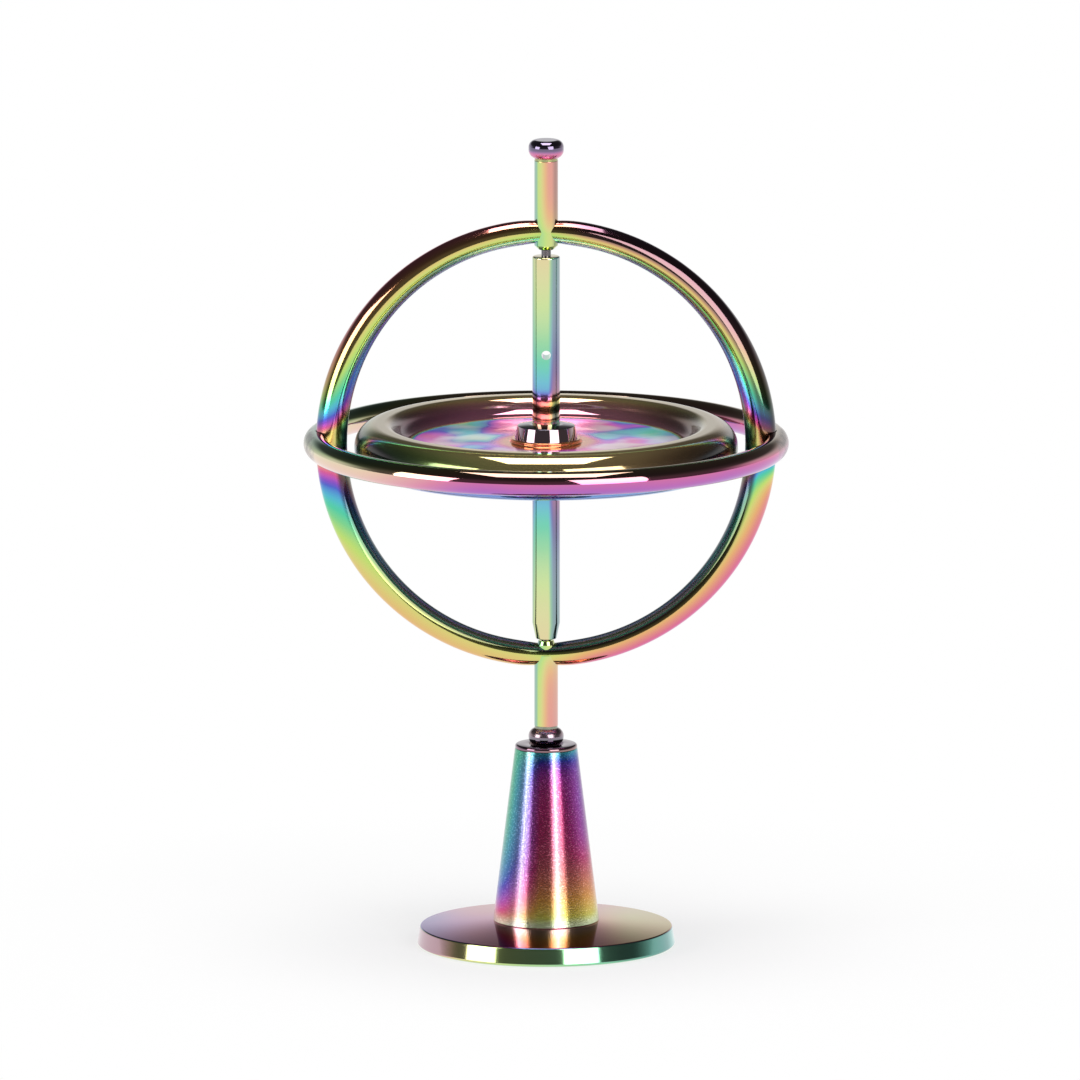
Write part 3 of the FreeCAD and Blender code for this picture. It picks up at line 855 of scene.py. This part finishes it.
hoopSettings = {"radius": 29.9, "tube": 3.2, "around": 320, "section": 48, "notch": 2.09}


def makeHoop():
    s = hoopSettings
    piece = added(
        "levelRing", bpy.ops.mesh.primitive_torus_add, major_segments=s["around"],
        minor_segments=s["section"], major_radius=s["radius"], minor_radius=s["tube"] / 2)
    for side in (-1, 1):
        notch = added(
            "notch", bpy.ops.mesh.primitive_cylinder_add, vertices=96, radius=s["notch"],
            depth=2 * s["tube"], location=(side * ringSettings["radius"], 0, 0))
        cut(piece, notch)
    raised(piece, equator)
    finished(piece, "gyro_frame", ["horizontal_ring"], hoopFinish(), sharp=40)


rivetSettings = {"radius": 0.6, "length": 3.1, "dome": 0.14}


def makeRivets():
    s = rivetSettings
    outside = high("ring_rivet_right").x
    points = [
        (0, outside - s["length"]),
        (s["radius"], outside - s["length"]),
        (s["radius"], outside - s["dome"]),
        (s["radius"] / 2, outside - s["dome"] / 4),
        (0, outside),
    ]
    right = turned("rightRingRivet", points, turns=48)
    rotated(right, "Y", 0, angle=-math.pi / 2)
    raised(right, equator)
    left = twin(right, "leftRingRivet", "Z", equator)
    metal = steelFinish("rivetSteel", "6b6268", 0.35)
    finished(right, "gyro_frame", ["ring_rivet_right"], metal)
    finished(left, "gyro_frame", ["ring_rivet_left"], metal)


shaftSettings = {"radius": 1.8, "edge": 0.22, "shoulder": 2.1, "shoulderEdge": 0.3, "nose": 1.35,
                 "noseEdge": 0.12, "socket": 0.62, "socketDepth": 0.2, "hole": 0.6, "holeRise": 11.87}


def makeShaft():
    s = shaftSettings
    top, bottom = high("shaft").z, low("shaft").z
    points = outline([
        (0, bottom + s["socketDepth"]),
        (s["socket"], bottom + s["socketDepth"]),
        (s["socket"], bottom),
        (s["nose"], bottom, s["noseEdge"]),
        (s["radius"], bottom + s["shoulder"], s["shoulderEdge"]),
        (s["radius"], top, s["edge"]),
        (s["socket"], top),
        (s["socket"], top - s["socketDepth"]),
        (0, top - s["socketDepth"]),
    ], steps=5)
    piece = turned("shaft", points, turns=128)
    hole = added(
        "hole", bpy.ops.mesh.primitive_cylinder_add, vertices=64, radius=s["hole"], depth=8,
        location=(0, 0, equator + s["holeRise"]), rotation=(math.pi / 2, 0, 0))
    bpy.ops.object.transform_apply(location=True, rotation=True)
    cut(piece, hole)
    finished(piece, "rotor", ["shaft"], shaftFinish())


tipSettings = {"point": 0.25, "slope": 0.4, "edge": 0.05, "pointEdge": 0.1}


def makeTip(name, node, material):
    s = tipSettings
    radius = high(node).x
    start, end = span(node)
    points = outline([
        (0, start),
        (radius, start),
        (radius, end - s["slope"], s["edge"]),
        (s["point"], end, s["pointEdge"]),
        (0, end),
    ], steps=4)
    piece = turned(name, points, turns=48)
    raised(piece, equator)
    turnedOver(piece, node)
    finished(piece, "rotor", [node], material)


wheelSettings = {"rimWidth": 6.1, "webHalf": 0.7, "crestLand": 2.0, "rimBand": 0.3,
                 "crestRounding": 1.8, "webRounding": 2.1, "boss": 4.6, "bossHeight": 0.5,
                 "bossRounding": 0.2, "bore": 1.82}


def makeWheel():
    s = wheelSettings
    outer = high("flywheel").x
    half = high("flywheel").z - wheelMiddle
    rounding = half - s["rimBand"] / 2
    crest = outer - rounding - s["crestLand"]
    bossTop = s["webHalf"] + s["bossHeight"]
    upper = [
        (outer, half, rounding),
        (crest, half, s["crestRounding"]),
        (outer - s["rimWidth"], s["webHalf"], s["webRounding"]),
        (s["boss"], s["webHalf"], s["bossRounding"]),
        (s["boss"], bossTop, s["bossRounding"]),
        (s["bore"], bossTop),
    ]
    lower = [(r, -z, *rest) for r, z, *rest in reversed(upper)]
    piece = turned("flywheel", outline(lower + upper, steps=16), turns=256)
    raised(piece, wheelMiddle)
    finished(piece, "rotor", ["flywheel"], wheelFinish())


collarSettings = {"bore": 1.82, "fall": 0.22, "slope": 0.36, "land": 0.5, "edge": 0.12}


def makeCollars():
    s = collarSettings
    foot, top = low("upper_hub_collar").z, high("upper_hub_collar").z
    radius = high("upper_hub_collar").x
    points = outline([
        (s["bore"], foot),
        (radius, foot),
        (radius - s["slope"], top - s["fall"], s["edge"]),
        (s["bore"] + s["land"], top, s["edge"]),
        (s["bore"], top),
    ], steps=5)
    upper = turned("upperHubCollar", points, turns=128)
    lower = twin(upper, "lowerHubCollar", "X", wheelMiddle)
    metal = collarFinish()
    finished(upper, "rotor", ["upper_hub_collar"], metal)
    finished(lower, "rotor", ["lower_hub_collar"], metal)


makeBase()
makePad()
makeCone()
makeCup()
# the two knob finishes are lit and shaded copies: the upper knob takes more painted light towards its
# post than the lower
upperKnobMetal = knobFinish("upperKnobFilm", glow=0.75, saturation=1.2)
lowerKnobMetal = knobFinish("lowerKnobFilm", glow=0.25, saturation=0.5)
makeKnob("upperKnob", "upper_knob", knobSettings["upperRounding"], upperKnobMetal)
makeKnob("lowerKnob", "lower_knob", knobSettings["lowerRounding"], lowerKnobMetal)
# the two post finishes differ only in the painted shade on their right side
upperPostMetal = postFinish("upperPostFilm", shadow=0.48)
lowerPostMetal = postFinish("lowerPostFilm", shadow=0.1)
makePosts(upperPostMetal, lowerPostMetal)
makeBoss("upperBearingBoss", "upper_bearing_boss", upperPostMetal)
makeBoss("lowerBearingBoss", "lower_bearing_boss", lowerPostMetal)
makeUprightRing()
makeHoop()
makeRivets()
makeShaft()
tipMetal = steelFinish("pointSteel", "3a2c33", 0.3)
makeTip("upperPivotTip", "upper_pivot_tip", tipMetal)
makeTip("lowerPivotTip", "lower_pivot_tip", tipMetal)
makeWheel()
makeCollars()

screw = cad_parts["base_screw"]
screw.material_slots[0].material = steelFinish("screwSteel", "9a9aa0", 0.32)


studio = {
    "floorSize": 12.0,
    "floorColour": "fafafa",
    "floorGlow": (0.02, 0.1, 0.72, 1.0),  # near distance, far distance, glow near, glow far
    "ambient": 0.1,
    "glowRise": (0.15, 0.36),  # heights over which the glow behind the piece fades out
    "glowDepth": (-0.1, 0.6),  # from the front to the back of the room, where the glow sets in
    "dimRise": (0.3, 0.65),  # heights over which the front light falls off
    "front": 0.11,
    "dark": 0.05,
    "lampAim": 0.05,  # height that the lamps point at
}
lamps = {  # azimuth from the camera's side, elevation, distance, width, height, brightness
    "leftStrip": (-61, 16, 0.85, 0.46, 0.49, 4.3),
    "rightStrip": (32, 21, 0.9, 0.54, 0.69, 4.3),
    "overheadBox": (0, 88, 0.8, 0.48, 0.55, 5.5),
}
camera = {"elevation": 10.3, "distance": 6.0, "field": 0.14026, "aimX": -0.0008, "aimZ": 0.0534,
          "sensor": 36}


# 1 for a ray that has met a mirror or gone through a clear piece
def bounced(tree, path):
    return calc(tree, "MAXIMUM", path.outputs["Is Glossy Ray"], path.outputs["Is Transmission Ray"])


# a white floor that takes a faint shadow near the foot of the stand
def makeFloor():
    floor = added("studioFloor", bpy.ops.mesh.primitive_plane_add, size=studio["floorSize"])
    material = bpy.data.materials.new("studioFloor")
    material.use_nodes = True
    tree = material.node_tree
    tree.nodes.clear()
    output = tree.nodes.new("ShaderNodeOutputMaterial")
    matt = tree.nodes.new("ShaderNodeBsdfDiffuse")
    matt.inputs["Color"].default_value = shade(studio["floorColour"])
    glow = tree.nodes.new("ShaderNodeEmission")
    path = tree.nodes.new("ShaderNodeLightPath")
    place = tree.nodes.new("ShaderNodeNewGeometry")
    distance = tree.nodes.new("ShaderNodeVectorMath")
    distance.operation = "LENGTH"
    tree.links.new(place.outputs["Position"], distance.inputs[0])
    level = stretch(tree, distance.outputs["Value"], *studio["floorGlow"])
    seen = calc(tree, "MULTIPLY", path.outputs["Is Camera Ray"], level)
    mix = tree.nodes.new("ShaderNodeMixShader")
    tree.links.new(calc(tree, "MAXIMUM", seen, bounced(tree, path)), mix.inputs[0])
    tree.links.new(matt.outputs[0], mix.inputs[1])
    tree.links.new(glow.outputs[0], mix.inputs[2])
    tree.links.new(mix.outputs[0], output.inputs[0])
    floor.data.materials.append(material)


# a dark room with a bright band low behind the piece, for the mirrors, and white for the camera
def makeWorld():
    world = bpy.data.worlds.new("studio")
    bpy.context.scene.world = world
    world.use_nodes = True
    tree = world.node_tree
    tree.nodes.clear()
    output = tree.nodes.new("ShaderNodeOutputWorld")
    background = tree.nodes.new("ShaderNodeBackground")
    tree.links.new(background.outputs[0], output.inputs[0])
    direction = tree.nodes.new("ShaderNodeTexCoord")
    _, depth, height = parts(tree, direction.outputs["Generated"])
    glow = stretch(tree, height, *studio["glowRise"], 1.0, 0.0)
    behind = calc(tree, "MULTIPLY", glow, stretch(tree, depth, *studio["glowDepth"], 0.0, 1.0))
    below = stretch(tree, height, -0.02, 0.0, 1.0, 0.0)
    bright = calc(tree, "MAXIMUM", below, behind)
    dim = stretch(tree, height, *studio["dimRise"], studio["front"], studio["dark"])
    mirrored = stretch(tree, bright, 0.0, 1.0, dim, 1.0, kind="LINEAR")
    path = tree.nodes.new("ShaderNodeLightPath")
    level = stretch(tree, bounced(tree, path), 0.0, 1.0, studio["ambient"], mirrored, kind="LINEAR")
    level = stretch(tree, path.outputs["Is Camera Ray"], 0.0, 1.0, level, 1.0, kind="LINEAR")
    tree.links.new(level, background.inputs["Strength"])


def makeLamp(name, azimuth, elevation, distance, width, height, brightness):
    a, e = math.radians(azimuth), math.radians(elevation)
    aim = Vector((0, 0, studio["lampAim"]))
    away = Vector((math.sin(a) * math.cos(e), -math.cos(a) * math.cos(e), math.sin(e)))
    bpy.ops.object.light_add(type="AREA", location=aim + away * distance)
    lamp = bpy.context.object
    lamp.name = name
    lamp.data.shape = "RECTANGLE"
    lamp.data.size = width
    lamp.data.size_y = height
    lamp.data.energy = brightness * math.pi * width * height
    lamp.rotation_euler = away.to_track_quat("Z", "Y").to_euler()
    lamp.visible_camera = False


def makeCamera():
    s = camera
    e = math.radians(s["elevation"])
    aim = Vector((s["aimX"], 0, s["aimZ"]))
    away = Vector((0, -math.cos(e), math.sin(e)))
    bpy.ops.object.camera_add(location=aim + away * s["distance"])
    eye = bpy.context.object
    eye.rotation_euler = away.to_track_quat("Z", "Y").to_euler()
    eye.data.sensor_width = s["sensor"]
    eye.data.lens = s["sensor"] * s["distance"] / s["field"]
    eye.data.clip_start = 0.05
    eye.data.clip_end = 30
    bpy.context.scene.camera = eye


makeFloor()
makeWorld()
for name, values in lamps.items():
    makeLamp(name, *values)
makeCamera()
bpy.context.scene.view_settings.view_transform = "Standard"
print("studio ready")
